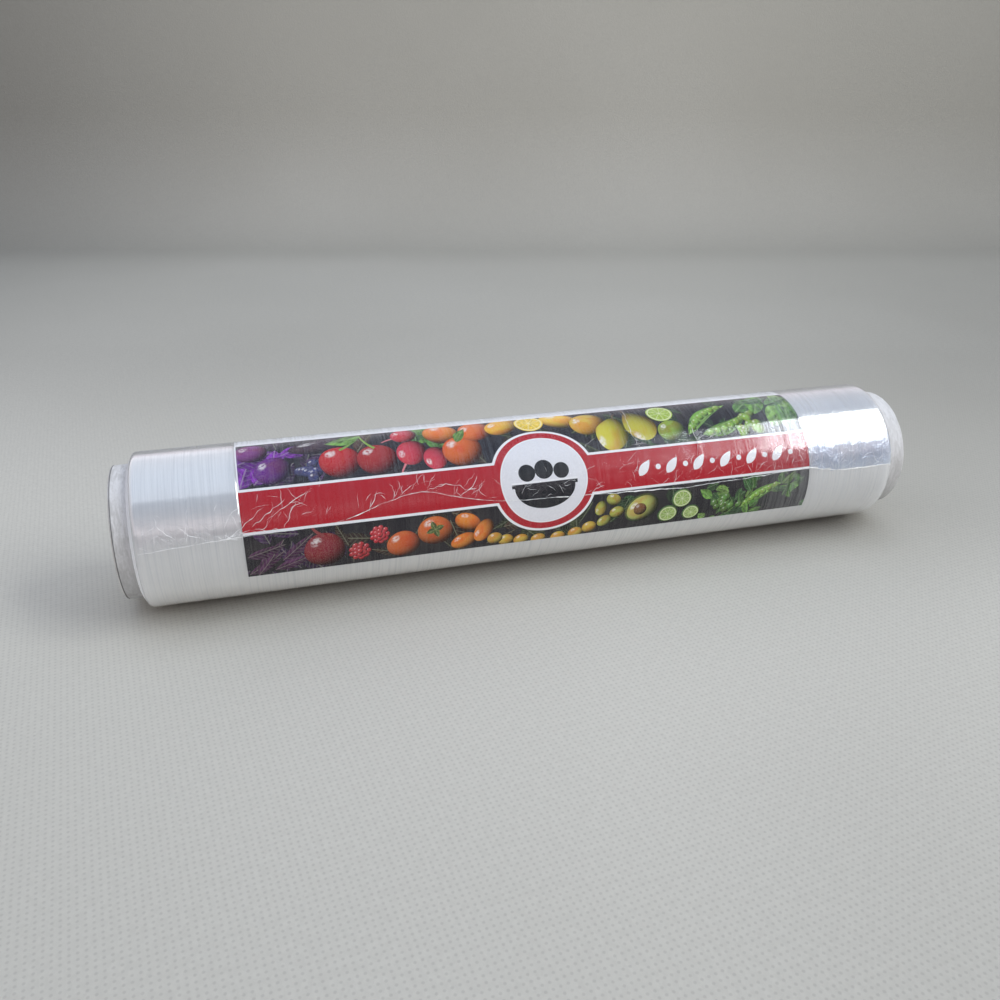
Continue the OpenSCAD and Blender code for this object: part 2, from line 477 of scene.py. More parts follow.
def make_wound_film():
    """All the tight turns as one solid, with a bed for the label just under its surface."""
    rng = random.Random(11)
    left = [(-x, r) for x, r in end_profile(LEFT_CONE, rng)]
    right = end_profile(RIGHT_CONE, rng)[::-1]
    reach = FILM_HALF - SHOULDER
    bed_low, bed_high = LEFT - BED_GAP, RIGHT + BED_GAP
    beds = [bed_low - BED_STEP, bed_low, bed_high, bed_high + BED_STEP]
    middle = np.unique(np.concatenate([np.linspace(-reach + 1, reach - 1, 292), beds]))
    xs = np.concatenate([[x for x, _ in left], middle, [x for x, _ in right]])
    rs = np.concatenate([[r for _, r in left], np.full(len(middle), FILM_R), [r for _, r in right]])
    body = (np.abs(xs) < reach + SHOULDER * 0.5) & (rs > FILM_R - 0.6)
    bands = 0.018 * value_noise(xs, 0, 7, 1, 3) + 0.012 * value_noise(xs, 0, 2.1, 1, 4)
    rs = rs + np.where(body, bands - 0.03, 0)
    bed_angles = [LABEL_LOW_A - 0.4, LABEL_LOW_A - 0.1, LABEL_HIGH_A + 0.1, LABEL_HIGH_A + 0.4]
    angles = np.unique(np.concatenate([np.linspace(-90, 270, 145)[:-1], bed_angles]))
    bed_x = (xs > beds[1] - 0.001) & (xs < beds[2] + 0.001)
    bed_a = (angles > bed_angles[1] - 0.001) & (angles < bed_angles[2] + 0.001)
    radius = rs[None, :] - BED_DEPTH * (bed_a[:, None] & bed_x[None, :])
    points = on_roll(xs[None, :], angles[:, None], radius)
    points[..., 2] = np.maximum(points[..., 2], 0.02)
    # The outer points of each shoulder look like the film, not like its cut edges.
    outer = 7
    column = np.arange(len(xs))
    at_end = (column < len(left) - outer) | (column >= len(xs) - len(right) + outer - 1)
    piece = make_turned("wound_film", points, [wound_film_material(), film_edges_material()],
                        "film_roll", at_end)
    above = (angles[:, None] - edge_angle(xs)[None, :]) % 360
    mark_loose(piece, looseness(xs[None, :], above))


# The loose last turn

edge_curve = smooth_curve(FREE_EDGE, 2.2)


def edge_angle(x):
    """Angle of the film's free edge, with its small nicks and ripples."""
    return edge_curve(x) + 0.35 * value_noise(x, 0, 5, 1, 21) + 0.18 * value_noise(x, 0, 1.6, 1, 22)


def looseness(x, above):
    """How loose the last turn is, from 0 to 1, at a number of degrees above its free edge."""
    patches = 0.65 + 0.35 * value_noise(x, above, 16, 14, 31)
    reach = 24 + 10 * smoothstep(70, 110, x) - 6 * smoothstep(0, -60, x)
    near_edge = np.exp(-(above / reach) ** 2)
    return np.clip(near_edge * patches + 0.10 * np.exp(-(above / 70) ** 2), 0, 1)


def sheet_radius(x, above):
    """Distance of the last turn from the axis, at a number of degrees above its free edge."""
    s = above * DEGREE
    loose = looseness(x, above)
    diagonal, other = x * 0.75 + s * 0.66, -x * 0.66 + s * 0.75
    crumple = (fold_noise(diagonal, other, 9, 3.2, 41) + 0.6 * fold_noise(other, diagonal, 6, 2.2, 42)
               + 0.45 * fold_noise(x, s, 3.4, 1.5, 43) - 1.0)
    ripple = value_noise(x, s, 5.5, 40, 44)
    lift = LAP * (1 - smoothstep(0, 150, above)) + 0.10 * loose * crumple + 0.02 * ripple * (0.2 + loose)
    for middle, low, high in PLEATS:
        along = smoothstep(low - 6, low + 4, above + 10) * (1 - smoothstep(high - 6, high + 4, above + 10))
        wander = middle + 0.9 * value_noise(above, 0, 14, 1, int(middle))
        lift = lift + 0.22 * along * np.exp(-((x - wander) / 0.5) ** 2)
    drop = np.clip((np.abs(x) - (FILM_HALF - SHOULDER)) / SHOULDER, 0, 1)
    return SHEET_R + np.maximum(lift, 0) - SHOULDER * (1 - np.sqrt(1 - drop * drop))


def clear_film(n, veil, streak, normal):
    """Clear film: light goes through it, but for a milky veil and a mirror's share at its surface."""
    facing = n.add("ShaderNodeLayerWeight", {"Blend": 0.5, "Normal": normal}, output="Facing")
    mirror = n.line(n.math("POWER", facing, 5.0), 0.9, 0.045)
    cover = n.line(mirror, streak, veil, clamp=True)
    gloss = n.film_gloss(Base_Color=(0.95, 0.96, 1.0), Metallic=1.0, Roughness=0.18, Anisotropic=0.85,
                         Normal=normal)
    return n.over_clear(cover, gloss)


def loose_film_material():
    n = Nodes("loose_film")
    loose = n.attribute("loose")
    fine, _ = streaks(n)
    crinkle = crumples(n, loose)
    normal = n.bump(fine, 0.006, 1.0)
    normal = n.bump(crinkle, 0.05, 0.7, normal)
    veil = n.math("ADD", n.between(fine, 0.45, 0.75, 0.0, 0.006), n.times(crinkle, 0.006))
    cloudy = n.between(n.split(n.place())[0], 0.078, 0.108, 0.0, 0.15)
    veil = n.math("ADD", veil, n.times(cloudy, n.between(fine, 0.3, 0.65, 0.3, 1.4)))
    streak = n.between(fine, 0.3, 0.7, 0.6, 1.5)
    return n.done(clear_film(n, veil, streak, normal))


def make_loose_turn():
    """The last turn: one clear sheet from its free edge, over the top and right round to the front."""
    xs = np.concatenate([np.linspace(-149.6, -148, 5)[:-1], np.linspace(-148, 148, 330),
                         np.linspace(148, 149.6, 5)[1:]])
    above = np.concatenate([np.arange(0, 66, 0.9), np.arange(66, 150, 2.4), np.arange(150, 361, 4.2),
                            [SHEET_SPAN]])
    grid_x, grid_above = np.meshgrid(xs, above)
    radius = sheet_radius(grid_x, grid_above)
    radius = radius - 0.005 * smoothstep(330, 350, grid_above)
    start = edge_angle(grid_x)
    points = on_roll(grid_x, start + grid_above, radius)
    points[..., 2] = np.maximum(points[..., 2], 0.0)
    faces = grid_faces(len(above), len(xs))
    piece = make_piece("loose_turn", points, faces, [loose_film_material()])
    mark_loose(piece, looseness(grid_x, grid_above))


# Creases and the free edge

# The creases that show most, as x and angle along each
MAIN_CREASES = [
    [(-142, 34), (-141.4, 27), (-138.6, 20), (-135.5, 16.5)],
    [(-134.5, 24), (-131.5, 18), (-127, 15.2)],
    [(-120.5, 10), (-117.5, 13.5), (-115.6, 15.5)],
    [(-120, 10.5), (-114.5, 17.2), (-105.5, 31.8)],
    [(-119.8, 16), (-117.6, 12.2), (-115.2, 10.6)],
    [(-117.5, 27), (-116, 31), (-114, 32.5)],
    [(-110.3, 19), (-103.7, 27.2), (-97.7, 35.7)],
    [(-99.6, 14.5), (-97, 23.6), (-94.5, 32.1), (-95.3, 35.8)],
    [(-105.4, 22), (-96.6, 31.9), (-88, 40.7)],
    [(-69.2, 19), (-67.2, 27.3), (-65.6, 34.9)],
    [(-57.5, 28.5), (-54.5, 32.7), (-51.2, 37.1)],
    [(-48, 30), (-40, 33), (-35, 30.5), (-33, 26)],
    [(-36, 23), (-30, 30), (-28, 37)],
    [(37.8, 88), (36.6, 70), (36.2, 61.2), (37.2, 45.3)],
    [(62.4, 60), (62.1, 52), (62.2, 44.2), (61.6, 32.7)],
]


def crease_material():
    n = Nodes("creased_film_and_highlight")
    speck = n.noise(n.place(), 1800.0, 2)
    # The folds' near-opaque white is partly the film's own whitened creases and partly a painted highlight.
    cover = n.between(speck, 0.3, 0.6, 0.85, 1.0)
    gloss = n.surface(Base_Color=(1.0, 1.0, 1.0), Metallic=0.1, Roughness=0.2)
    return n.done(n.over_clear(cover, gloss))


def ridge(path, width, height, rng, wobble=0.25):
    """A thin fold along a path of x and angle, three-sided and pointed at both ends."""
    path = np.array(path, float)
    s = np.concatenate([[0], np.cumsum(np.hypot(np.diff(path[:, 0]), np.diff(path[:, 1]) * DEGREE))])
    count = max(5, int(s[-1] / 0.55))
    t = np.linspace(0, s[-1], count)
    x, angle = np.interp(t, s, path[:, 0]), np.interp(t, s, path[:, 1])
    seed = rng.randrange(10000)
    x = x + wobble * value_noise(t, 0, 1.9, 1, seed)
    angle = angle + 2 * wobble * value_noise(t, 0, 1.6, 1, seed + 1)
    dx, ds = np.gradient(x), np.gradient(angle) * DEGREE
    length = np.maximum(np.hypot(dx, ds), 1e-6)
    nx, ns = -ds / length, dx / length
    taper = np.sin(np.linspace(0.02, math.pi - 0.02, count)) ** 0.6
    half = width / 2 * taper * (0.75 + 0.45 * value_noise(t, 0, 1.2, 1, seed + 2))
    rows = []
    for side, up in ((-1, 0.0), (0, 1.0), (1, 0.0)):
        px = x + side * half * nx
        pa = angle + side * half * ns / DEGREE
        above = np.maximum(pa - edge_angle(px), 0)
        rows.append(on_roll(px, pa, sheet_radius(px, above) + 0.012 + up * height * taper))
    return np.stack(rows, axis=1)


def make_creases():
    """All folds of the loose turn that catch the light, and the bright line along its free edge, their white
    partly painted highlight.
    """
    rng = random.Random(5)
    ridges = [ridge(path, 0.22, 0.12, rng, 0.35) for path in MAIN_CREASES]
    for path in MAIN_CREASES:
        for _ in range(2):
            x, angle = path[rng.randrange(len(path))]
            ridges.append(ridge(small_crease(x + rng.uniform(-3, 3), angle + rng.uniform(-5, 5), rng),
                                0.12, 0.06, rng))
    # Where small creases crowd: x from and to, degrees above the edge, and how many
    for x_low, x_high, reach, count in ((-146, -116, 16, 10), (-116, -88, 26, 18), (-88, -62, 12, 5),
                                        (-62, -24, 12, 26), (-20, 18, 26, 30), (18, 60, 24, 28),
                                        (60, 108, 26, 40), (108, 148, 30, 46)):
        for _ in range(count):
            x = rng.uniform(x_low, x_high)
            angle = float(edge_angle(x)) + abs(rng.gauss(0, reach / 2)) + 0.6
            ridges.append(ridge(small_crease(x, angle, rng), rng.uniform(0.06, 0.16), 0.06, rng))
    xs = np.arange(-149, 149, 0.6)
    start = 0
    while start < len(xs) - 8:
        count = min(rng.randrange(10, 60), len(xs) - start)
        part = xs[start:start + count]
        path = np.stack([part, edge_angle(part) + 0.15], axis=1)
        thick = 0.62 if part[0] > 95 else 0.42 if part[0] > 10 else 0.3
        ridges.append(ridge(path, rng.uniform(0.6, 1.3) * thick, 0.06, rng, 0.05))
        start += count - 2 + (rng.randrange(0, 4) if rng.random() < 0.3 else 0)
    points, faces, base = [], [], 0
    for rows in ridges:
        points.append(rows.reshape(-1, 3))
        faces.append(grid_faces(len(rows), 3, close_columns=True) + base)
        base += rows.shape[0] * 3
    make_piece("creases", np.concatenate(points), np.concatenate(faces), [crease_material()],
               smooth=False)


def small_crease(x, angle, rng):
    """A short bent crease that starts at x and angle."""
    direction = rng.choice((rng.gauss(35, 25), rng.gauss(125, 30), rng.gauss(60, 20)))
    path = [(x, angle)]
    for _ in range(rng.randrange(2, 5)):
        step = rng.uniform(0.7, 2.4)
        direction += rng.uniform(-35, 35)
        c, d = cos_sin(direction)
        x += step * c
        angle += step * d / DEGREE
        path.append((x, angle))
    floor = [float(edge_angle(px)) + 0.3 for px, _ in path]
    return [(px, max(pa, low)) for (px, pa), low in zip(path, floor)]


# The core

def core_material(name, pale, dark, worn=0.0):
    """Grey paperboard with fibres. With worn set, its colour is darker low down, a painted shade, and darker
    along a thin line near its left rim.
    """
    n = Nodes(name)
    place = n.place()
    long_fibre = n.noise(n.place((900, 260, 260)), 1.0, 4, 0.6, 0.6)
    fibre = n.noise(place, 1500.0, 4, 0.6)
    cloud = n.noise(place, 60.0, 3)
    colour = n.patches(dark, pale, long_fibre, 0.3, 0.7)
    colour = n.patches(colour, (0.50, 0.48, 0.45), fibre, 0.55, 0.72, 0.5)
    colour = n.patches(colour, (0.78, 0.78, 0.80), cloud, 0.35, 0.7, 0.3)
    x, _, z = n.split(place)
    from_dark_line = n.apart(x, RIM_DARK_LINE_X * MM)
    # Painted shade: worn sets how much darker the board is low down, and also the darkening along the thin
    # line near the left rim.
    kept = n.times(n.between(z, 0.004, 0.050, 1.0 - 0.54 * worn, 1.0),
                   n.between(from_dark_line, 0.0001, 0.0003, 1.0 - 0.7 * worn, 1.0))
    colour = n.scaled(colour, kept)
    normal = n.bump(fibre, 0.05, 0.8, n.bump(long_fibre, 0.08, 0.7))
    return n.done(n.surface(Base_Color=colour, Roughness=0.82, Specular_IOR_Level=0.3, Normal=normal))


def make_core():
    """The paperboard tube: worn round rims, and cut ends that show its plies."""
    rim_steps, plies, bore_steps = 5, 12, 60
    bevel, wear = 0.5, 0.45

    def end(x, sign):
        """Outer rim, cut face and inner rim of one end, from outside in."""
        points = []
        for c, d in quarter(rim_steps - 1):
            points.append((x - sign * bevel * (1 - d), CORE_R - bevel * (1 - c)))
        for i in range(1, plies):
            dent = 0.05 if i % 2 else 0.0
            points.append((x - sign * dent, CORE_R - bevel + (CORE_BORE_R - CORE_R + 2 * bevel) * i / plies))
        for c, d in quarter(rim_steps - 1):
            points.append((x - sign * bevel * (1 - c), CORE_BORE_R + bevel * (1 - d)))
        return points

    near = np.concatenate([np.linspace(0.6, 12, 14), [30, 60, 90, 120]])
    profile = [(CORE_LEFT + d, CORE_R) for d in near]
    profile += [(CORE_RIGHT - d, CORE_R) for d in near[::-1]]
    profile += end(CORE_RIGHT, 1)
    profile += [(x, CORE_BORE_R) for x in np.linspace(CORE_RIGHT - 1, CORE_LEFT + 1, bore_steps)]
    profile += end(CORE_LEFT, -1)[::-1]
    xs, rs = np.array(profile).T
    xs = xs - FILM_X
    angles = np.linspace(-90, 270, 193)[:-1]
    grid_x, grid_a = np.meshgrid(xs, angles)
    radius = np.tile(rs, (len(angles), 1))
    outside = radius > CORE_R - wear
    worn = 0.06 * fold_noise(grid_x, grid_a, 2.2, 5, 61) + 0.05 * (1 + value_noise(grid_x, grid_a, 6, 3, 62))
    radius = radius - np.where(outside, wear * worn, 0)
    tip = np.minimum(np.abs(grid_x + FILM_X - CORE_LEFT), np.abs(grid_x + FILM_X - CORE_RIGHT)) < 0.8
    push = 0.09 * (1 + value_noise(grid_a, radius, 4, 0.7, 63)) * tip
    moved = grid_x - np.sign(grid_x) * push
    points = on_roll(moved, grid_a, radius)
    # The board takes the painted shade low down and the thin dark line near its left rim.
    board = core_material("core_board", (0.73, 0.72, 0.72), (0.55, 0.54, 0.53), 1.0)
    cut = core_material("core_cut", (0.60, 0.575, 0.54), (0.47, 0.44, 0.41))
    # Where each end's points start in the section, and how many they are
    right_start = 2 * len(near)
    per_end = 2 * rim_steps + plies - 1
    left_start = right_start + per_end + bore_steps
    is_cut = np.zeros(len(xs), bool)
    for start in (right_start, left_start):
        is_cut[start + 2:start + per_end - 2] = True
    make_turned("core", points, [board, cut], "core_tube", is_cut)


# The label's print

# The print's materials, in the order of label_materials
KINDS = ["white", "red", "ground", "flat", "round", "leaf", "slice"]


def turned(points, x, s, tilt):
    """Points of a shape's own u and v, turned by tilt and moved to x, s."""
    c, d = cos_sin(tilt)
    return [(x + u * c - v * d, s + u * d + v * c) for u, v in points]


def ellipse(x, s, a, b, tilt=0.0, count=28):
    """Points of an ellipse, counterclockwise."""
    return turned([(a * c, b * d) for c, d in spokes(count)], x, s, tilt)


def leaf_outline(x, s, length, width, tilt, bend=0.0, count=12):
    """A pointed leaf from its stalk at x, s."""
    upper, lower = [], []
    for i in range(count + 1):
        t = i / count
        half = width / 2 * math.sin(math.pi * t ** 0.8) ** 0.9 if 0 < t < 1 else 0.0
        middle = bend * length * math.sin(math.pi * t)
        upper.append((t * length, middle + half))
        lower.append((t * length, middle - half))
    return turned(lower + upper[-2:0:-1], x, s, tilt)


class Design:
    """The label's print as outlines, each drawn over those before it."""

    def __init__(self):
        self.shapes = []

    def add(self, kind, tint, outline, middle=(0, 0), half=(1, 1), tilt=0.0, seed=0.0):
        """kind is a material of KINDS. middle, half and tilt give the shape's own coordinates."""
        area = sum(x1 * s2 - x2 * s1 for (x1, s1), (x2, s2) in zip(outline, outline[1:] + outline[:1]))
        if area < 0:
            outline = outline[::-1]
        self.shapes.append((KINDS.index(kind), tint, outline, middle, half, tilt, seed))

    def rect(self, kind, tint, x1, s1, x2, s2):
        self.add(kind, tint, [(x1, s1), (x2, s1), (x2, s2), (x1, s2)])

    def round(self, tint, x, s, a, b=None, tilt=0.0, seed=0.0, kind="round"):
        b = b or a
        self.add(kind, tint, ellipse(x, s, a, b, tilt), (x, s), (a, b), tilt, seed)

    def disc(self, kind, tint, r):
        self.add(kind, tint, ellipse(RING_X, RING_S, r, r, count=96))

    def leaf(self, tint, x, s, length, width, tilt, bend=0.0, seed=0.0):
        c, d = cos_sin(tilt)
        middle = (x + length / 2 * c, s + length / 2 * d)
        self.add("leaf", tint, leaf_outline(x, s, length, width, tilt, bend), middle,
                 (length / 2, width / 2), tilt, seed)

    def stalk(self, tint, path, width):
        """A thin strip along a path, narrower at its far end."""
        left, right = [], []
        for i, (x, s) in enumerate(path):
            x0, s0 = path[max(i - 1, 0)]
            x1, s1 = path[min(i + 1, len(path) - 1)]
            length = math.hypot(x1 - x0, s1 - s0)
            half = width / 2 * (1 - 0.5 * i / (len(path) - 1))
            nx, ns = -(s1 - s0) / length * half, (x1 - x0) / length * half
            left.append((x + nx, s + ns))
            right.append((x - nx, s - ns))
        self.add("flat", tint, right + left[::-1])


def arc_path(x0, s0, x1, s1, bend, count=6):
    """Points from one place to another along a bent line."""
    nx, ns = -(s1 - s0), x1 - x0
    points = []
    for i in range(count + 1):
        t = i / count
        k = bend * 4 * t * (1 - t)
        points.append((x0 + (x1 - x0) * t + nx * k, s0 + (s1 - s0) * t + ns * k))
    return points


# Heights on the paper: the pictures, the band between them and their white outlines
LOWER_TOP, BAND_LOW, BAND_HIGH, UPPER_LOW, UPPER_TOP = 17.5, 18.5, 32.9, 33.9, 56.6
RING_X, RING_S = -2.3, 25.6
RING_WHITE_R, RING_RED_R, DISC_RIM_R, DISC_R = 20.9, 19.9, 17.2, 16.7

PAPER = (0.84, 0.845, 0.865)
RED = (0.45, 0.017, 0.026)
# The ground's colours, each up to a share of the label's length
DIM_COLOURS = [(0.16, (0.055, 0.022, 0.075)), (0.45, (0.060, 0.030, 0.022)), (0.6, (0.035, 0.045, 0.016)),
               (2.0, (0.020, 0.055, 0.020))]
LEAF_GREENS = [(0.10, 0.26, 0.05), (0.16, 0.36, 0.06), (0.06, 0.18, 0.05), (0.25, 0.45, 0.10)]


def darker(tint, k):
    return tuple(c * k for c in tint)


def dark_ground(design, ground, low, high, rng):
    """A dark ground full of dim leaves: purple on the left, brown, then green on the right."""
    design.rect("ground", ground, LEFT, low, RIGHT, high)
    for _ in range(46):
        x = rng.uniform(LEFT, RIGHT)
        t = (x - LEFT) / (RIGHT - LEFT)
        k = rng.uniform(0.5, 1.3)
        tint = next(colour for end, colour in DIM_COLOURS if t < end)
        design.leaf(darker(tint, k), x, rng.uniform(low, high), rng.uniform(7, 15), rng.uniform(3, 6),
                    rng.uniform(0, 360), rng.uniform(-0.15, 0.15), rng.random())


def berries(design, tint, x, s, r, count, spread, rng):
    """A heap of small round berries."""
    places = sorted(((x + rng.gauss(0, spread), s + rng.gauss(0, spread * 0.6)) for _ in range(count)),
                    key=lambda p: -p[1])
    for px, ps in places:
        k = rng.uniform(0.75, 1.2)
        design.round(darker(tint, k), px, ps, r * rng.uniform(0.85, 1.1), seed=rng.random())


def raspberry(design, tint, x, s, r, rng):
    for ring, count in ((0.78, 9), (0.42, 6), (0.0, 1)):
        for i in range(count):
            c, d = cos_sin(360 * (i + 0.5 * (ring == 0.42)) / count)
            design.round(tint, x + r * ring * c, s + r * ring * d, r * 0.30, seed=rng.random())


def upper_picture(design, rng):
    ball, leaf, stalk = design.round, design.leaf, design.stalk
    dark_ground(design, (0.016, 0.014, 0.020), UPPER_LOW, UPPER_TOP, rng)
    purple = (0.20, 0.022, 0.36)
    for place in ((-113, 34, 17, 9, 70), (-108, 35, 19, 9, 48), (-114, 44, 16, 8, 22),
                  (-102, 36, 15, 8, 80), (-98, 47, 14, 7, 25)):
        tint = darker(purple, rng.uniform(0.7, 1.5))
        leaf(tint, *place, rng.uniform(-0.1, 0.1), rng.random())
    ball((0.13, 0.015, 0.22), -101, 40.5, 6.6, 5.8, 20, 0.2)
    ball((0.20, 0.03, 0.22), -108, 50.5, 6.0, 5.4, 10, 0.7)
    berries(design, (0.05, 0.06, 0.20), -88, 38.5, 2.1, 13, 3.2, rng)
    ball((0.035, 0.012, 0.040), -83, 51, 12, 4.2, 8, 0.4)
    leaf((0.07, 0.16, 0.05), -71, 52.5, 6, 4, 200, 0, 0.3)
    ball((0.50, 0.012, 0.022), -77.0, 41.6, 7.6, 7.1, 0, 0.1)
    ball((0.36, 0.010, 0.018), -63.5, 41.0, 7.4, 6.9, 0, 0.5)
    stalk((0.20, 0.36, 0.06), arc_path(-76.6, 47.0, -69, 56.0, -0.12), 1.1)
    stalk((0.24, 0.40, 0.07), arc_path(-63.8, 46.2, -68.4, 56.0, 0.10), 1.1)
    leaf((0.16, 0.34, 0.06), -68, 55.4, 14, 6, 196, 0.08, 0.6)
    for x, s, r, tilt in ((-50.5, 42.5, 6.0, 60), (-42.0, 38.8, 5.0, 80), (-52, 52.4, 5.0, 20)):
        c, d = cos_sin(tilt)
        for spread in (-24, 0, 22):
            leaf(rng.choice(LEAF_GREENS), x + r * 0.8 * c, s + r * 0.8 * d, r * 2.1, r * 0.9,
                 tilt + spread, 0, rng.random())
        root = [(x - r * k * c + bend, s - r * k * d) for k, bend in ((0.9, 0), (1.5, 0), (2.1, 1))]
        stalk((0.62, 0.20, 0.22), root, 0.9)
        ball((0.58, 0.035, 0.075), x, s, r, r * 0.92, tilt, rng.random())
    ball((0.78, 0.24, 0.03), -38, 51.2, 6.8, 6.2, -20, 0.8)
    ball((0.66, 0.13, 0.02), -31.5, 41.0, 7.6, 7.0, 10, 0.3)
    ball((0.72, 0.15, 0.02), -24.5, 51.0, 6.8, 6.2, 30, 0.55)
    leaf((0.14, 0.30, 0.05), -33, 45, 9, 4, 60, 0.05, 0.2)
    ball((0.80, 0.46, 0.03), -13.5, 52.2, 7.4, 5.2, 25, 0.15)
    ball((0.84, 0.55, 0.05), 9.5, 52.4, 7.6, 5.2, -18, 0.45)
    ball((0.86, 0.62, 0.06), -2.5, 52.4, 5.8, 5.4, 10, 0.35, kind="slice")
    ball((0.66, 0.46, 0.05), 20.5, 48.4, 7.4, 6.4, 20, 0.9)
    for x, s, tilt, k in ((29, 42, 70, 1.0), (41, 45, 110, 0.85)):
        c, d = cos_sin(tilt)
        tint = (0.60 * k, 0.55 * k, 0.05)
        outline = turned(pear_outline(8.6, 6.6), x, s, tilt)
        design.add("round", tint, outline, (x - 1.5 * c, s - 1.5 * d), (10.4, 6.9), tilt, k)
        path = arc_path(x + 8.4 * c, s + 8.4 * d, x + 11.5 * c + 0.6, s + 11.5 * d, 0.2)
        stalk((0.12, 0.07, 0.03), path, 0.9)
    ball((0.25, 0.40, 0.04), 53.5, 40.2, 5.8, 4.9, 15, 0.25)
    ball((0.40, 0.55, 0.07), 52, 50.3, 5.5, 5.2, 0, 0.65, kind="slice")
    for x, s, length, tilt, bend in ((60, 37, 26, 34, 0.10), (66, 36.5, 24, 20, -0.08)):
        pea_pod(design, x, s, length, 4.6, tilt, bend)
    berries(design, (0.22, 0.42, 0.05), 88, 38.8, 2.3, 12, 3.6, rng)
    for *place, shade in ((84, 46, 15, 7, 40, 0), (92, 44, 18, 8, 62, 1), (97, 37, 19, 9, 45, 3),
                          (104, 35, 20, 9, 75, 1), (108, 46, 13, 7, 100, 3), (99, 49, 13, 6, 20, 0),
                          (90, 52, 12, 5, 10, 2)):
        leaf(LEAF_GREENS[shade], *place, rng.uniform(-0.08, 0.08), rng.random())


def pear_outline(length, width, count=32):
    """A pear lying along u, its stalk end at +u."""
    return [(length * c, width * (1 - 0.42 * max(0.0, c) ** 1.2) * d) for c, d in spokes(count)]


def pea_pod(design, x, s, length, width, tilt, bend):
    """An open pod with a row of peas."""
    design.leaf((0.16, 0.36, 0.05), x, s, length, width * 1.25, tilt, bend, 0.5)
    design.leaf((0.30, 0.52, 0.12), x + 0.6, s + 0.4, length * 0.94, width * 0.85, tilt, bend, 0.1)
    for i in range(6):
        t = 0.16 + 0.68 * i / 5
        (px, ps), = turned([(t * length, bend * length * math.sin(math.pi * t))], x, s, tilt)
        design.round((0.24, 0.50, 0.07), px, ps, width * 0.36, seed=i / 6)


def lower_picture(design, rng):
    ball, leaf = design.round, design.leaf
    dark_ground(design, (0.017, 0.015, 0.019), 0.0, LOWER_TOP, rng)
    for place in ((-113, 1, 16, 4, 35), (-110, 0, 18, 4, 55), (-104, 2, 16, 4, 20), (-101, 6, 15, 4, 40),
                  (-113, 9, 14, 4, 15)):
        leaf((0.10, 0.03, 0.09), *place, rng.uniform(-0.1, 0.1), rng.random())
    ball((0.24, 0.018, 0.035), -86, 8.2, 7.4, 7.0, 0, 0.35)
    design.stalk((0.26, 0.05, 0.05), arc_path(-86, 14, -91, 20, 0.1), 1.3)
    raspberry(design, (0.50, 0.03, 0.05), -73.5, 5.8, 3.9, rng)
    raspberry(design, (0.56, 0.035, 0.06), -66, 11.8, 3.5, rng)
    ball((0.60, 0.13, 0.03), -57.5, 6.6, 6.2, 5.6, 8, 0.2)
    ball((0.62, 0.15, 0.03), -45.5, 10.6, 6.6, 5.8, -6, 0.6)
    for tilt in (20, 110, 200, 290):
        leaf((0.15, 0.20, 0.05), -45.5, 11.2, 3.6, 2.2, tilt, 0, 0.3)
    for x, s, tilt in ((-34.5, 4.6, 20), (-33, 12.6, -25), (-27, 8.2, 60)):
        ball((0.72, 0.24, 0.03), x, s, 5.2, 3.4, tilt, rng.random())
    for x, s in ((-18, 2.2), (-12, 1.4), (-5, 0.6), (10, 1.4), (15.5, 3.4), (3, 0.4), (-22.5, 3.8)):
        ball((0.62, 0.44, 0.06), x, s, 3.0, 2.8, 0, rng.random())
    for x, s, tilt in ((21.5, 5.6, 30), (19.8, 11.5, 70), (26.5, 9.0, 10), (25, 14.4, -20)):
        ball((0.42, 0.45, 0.08), x, s, 3.1, 2.4, tilt, rng.random())
    ball((0.07, 0.12, 0.03), 37, 9.4, 7.4, 5.8, 25, 0.3)
    ball((0.50, 0.55, 0.14), 37, 9.4, 6.6, 5.0, 25, 0.5)
    ball((0.20, 0.09, 0.03), 36.2, 9.0, 2.7, 2.6, 0, 0.7)
    for x, s, r in ((48.5, 5.0, 4.4), (54, 11.4, 4.5), (58.6, 4.4, 3.9)):
        ball((0.05, 0.14, 0.04), x, s, r, r * 0.94, 0, 0.2)
        ball((0.34, 0.48, 0.14), x, s, r * 0.86, r * 0.80, 0, rng.random(), kind="slice")
    pea_pod(design, 80, 3.6, 21, 3.8, 28, 0.06)
    for _ in range(40):
        x = rng.uniform(63, 110)
        k = rng.uniform(0.5, 1.1)
        green = rng.choice(LEAF_GREENS)
        leaf(darker(green, k), x, rng.uniform(0, 15), rng.uniform(4, 8), rng.uniform(2.2, 4),
             rng.uniform(0, 360), rng.uniform(-0.1, 0.1), rng.random())
    berries(design, (0.10, 0.26, 0.05), 72, 6.5, 1.7, 14, 3.2, rng)


def disc_sign(design):
    """A plain bowl of round fruit, in black, in the middle of the disc."""
    ink = (0.016, 0.017, 0.020)
    x, s = RING_X, RING_S - 1.2
    bowl = [(x + 12 * c, s - 1.4 + 8.6 * d) for c, d in map(cos_sin, range(180, 361, 9))]
    for dx, ds, r in ((-6.6, 4.1, 3.3), (0.2, 4.9, 3.7), (7.0, 3.9, 3.1)):
        design.add("flat", ink, ellipse(x + dx, s + ds, r, r), (x, s))
    design.rect("flat", ink, x - 13, s - 1.4, x + 13, s)
    design.rect("white", PAPER, x - 13, s, x + 13, s + 0.8)
    design.add("flat", ink, bowl)


def band_signs(design):
    """A row of plain white leaves and dots on the band, right of the disc."""
    for i in range(6):
        x = 36 + i * 11.6
        design.add("white", PAPER, leaf_outline(x, 22.6, 7.6, 3.6, 50))
        design.add("white", PAPER, ellipse(x + 8.2, 25.4, 1.1, 1.1, count=16))


